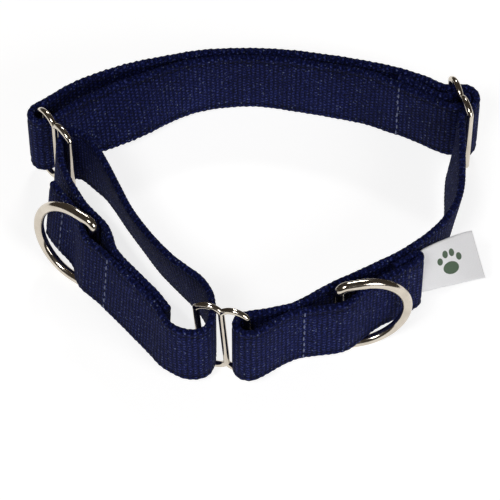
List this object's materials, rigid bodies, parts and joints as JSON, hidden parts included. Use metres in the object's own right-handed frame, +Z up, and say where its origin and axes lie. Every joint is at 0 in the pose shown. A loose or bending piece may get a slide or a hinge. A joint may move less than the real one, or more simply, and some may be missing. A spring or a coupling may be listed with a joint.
{
  "type": "martingale dog collar",
  "caption": "Martingale dog collar of flat webbing: a neck strap with figure-eight wire slides and a tag ring, joined to a control loop that carries a leash ring.",
  "frame": {"origin": "middle of the collar's outline in plan, on the surface that the collar stands on", "axes": "+X to the viewer's right along the collar's length, +Y away from the viewer, from the front to the back of the neck opening, +Z up along the webbing's width"},
  "size_m": [0.154, 0.1258, 0.0344],
  "materials": {
    "webbing": "coarse ribbed weave, matt with a faint sheen",
    "hardware": "polished nickel plate",
    "label_cloth": "fine woven label cloth",
    "thread": "twisted sewing thread"
  },
  "bodies": {
    "neck_strap": {"neck_strap": "webbing", "label": "label_cloth", "front_end_stitches": "thread", "hem_stitches": "thread", "adjuster_end_stitches": "thread"},
    "control_loop": {"control_loop": "webbing", "leash_ring_rear_stitches": "thread", "leash_ring_front_stitches": "thread"},
    "left_end_slide": {"left_end_slide": "hardware"},
    "front_end_slide": {"front_end_slide": "hardware"},
    "adjuster_slide": {"adjuster_slide": "hardware"},
    "leash_ring": {"leash_ring": "hardware"},
    "tag_ring": {"tag_ring": "hardware"}
  },
  "joints": [
    {"name": "loop_swing", "type": "hinge", "parent": "neck_strap", "child": "control_loop", "pos_m": [-0.0057, -0.0559, 0.0169], "axis": [0, 0, 1], "range_deg": [-1, 4]},
    {"name": "left_slide_swing", "type": "hinge", "parent": "neck_strap", "child": "left_end_slide", "pos_m": [-0.0726, 0.0312, 0.0169], "axis": [0, 0, 1], "range_deg": [-21.5, 5.5]},
    {"name": "front_slide_swing", "type": "hinge", "parent": "neck_strap", "child": "front_end_slide", "pos_m": [-0.0017, -0.0573, 0.0163], "axis": [-0.066, 0.0227, 0.9976], "range_deg": [-1, 3.5]},
    {"name": "adjuster_rock", "type": "hinge", "parent": "neck_strap", "child": "adjuster_slide", "pos_m": [0.0701, 0.0372, 0.0169], "axis": [0, 0, 1], "range_deg": [-2, 2]},
    {"name": "leash_ring_swing", "type": "hinge", "parent": "control_loop", "child": "leash_ring", "pos_m": [-0.0534, -0.0212, 0.0172], "axis": [0.0629, 0.0835, 0.9945], "range_deg": [0, 110]},
    {"name": "tag_ring_swing", "type": "hinge", "parent": "neck_strap", "child": "tag_ring", "pos_m": [0.0271, -0.0463, 0.0172], "axis": [0, 0, -1], "range_deg": [0, 120]}
  ],
  "couplings": [
    {"joint": "left_slide_swing", "follows": "loop_swing", "ratio": -5.31},
    {"joint": "front_slide_swing", "follows": "loop_swing", "ratio": 0.753}
  ]
}
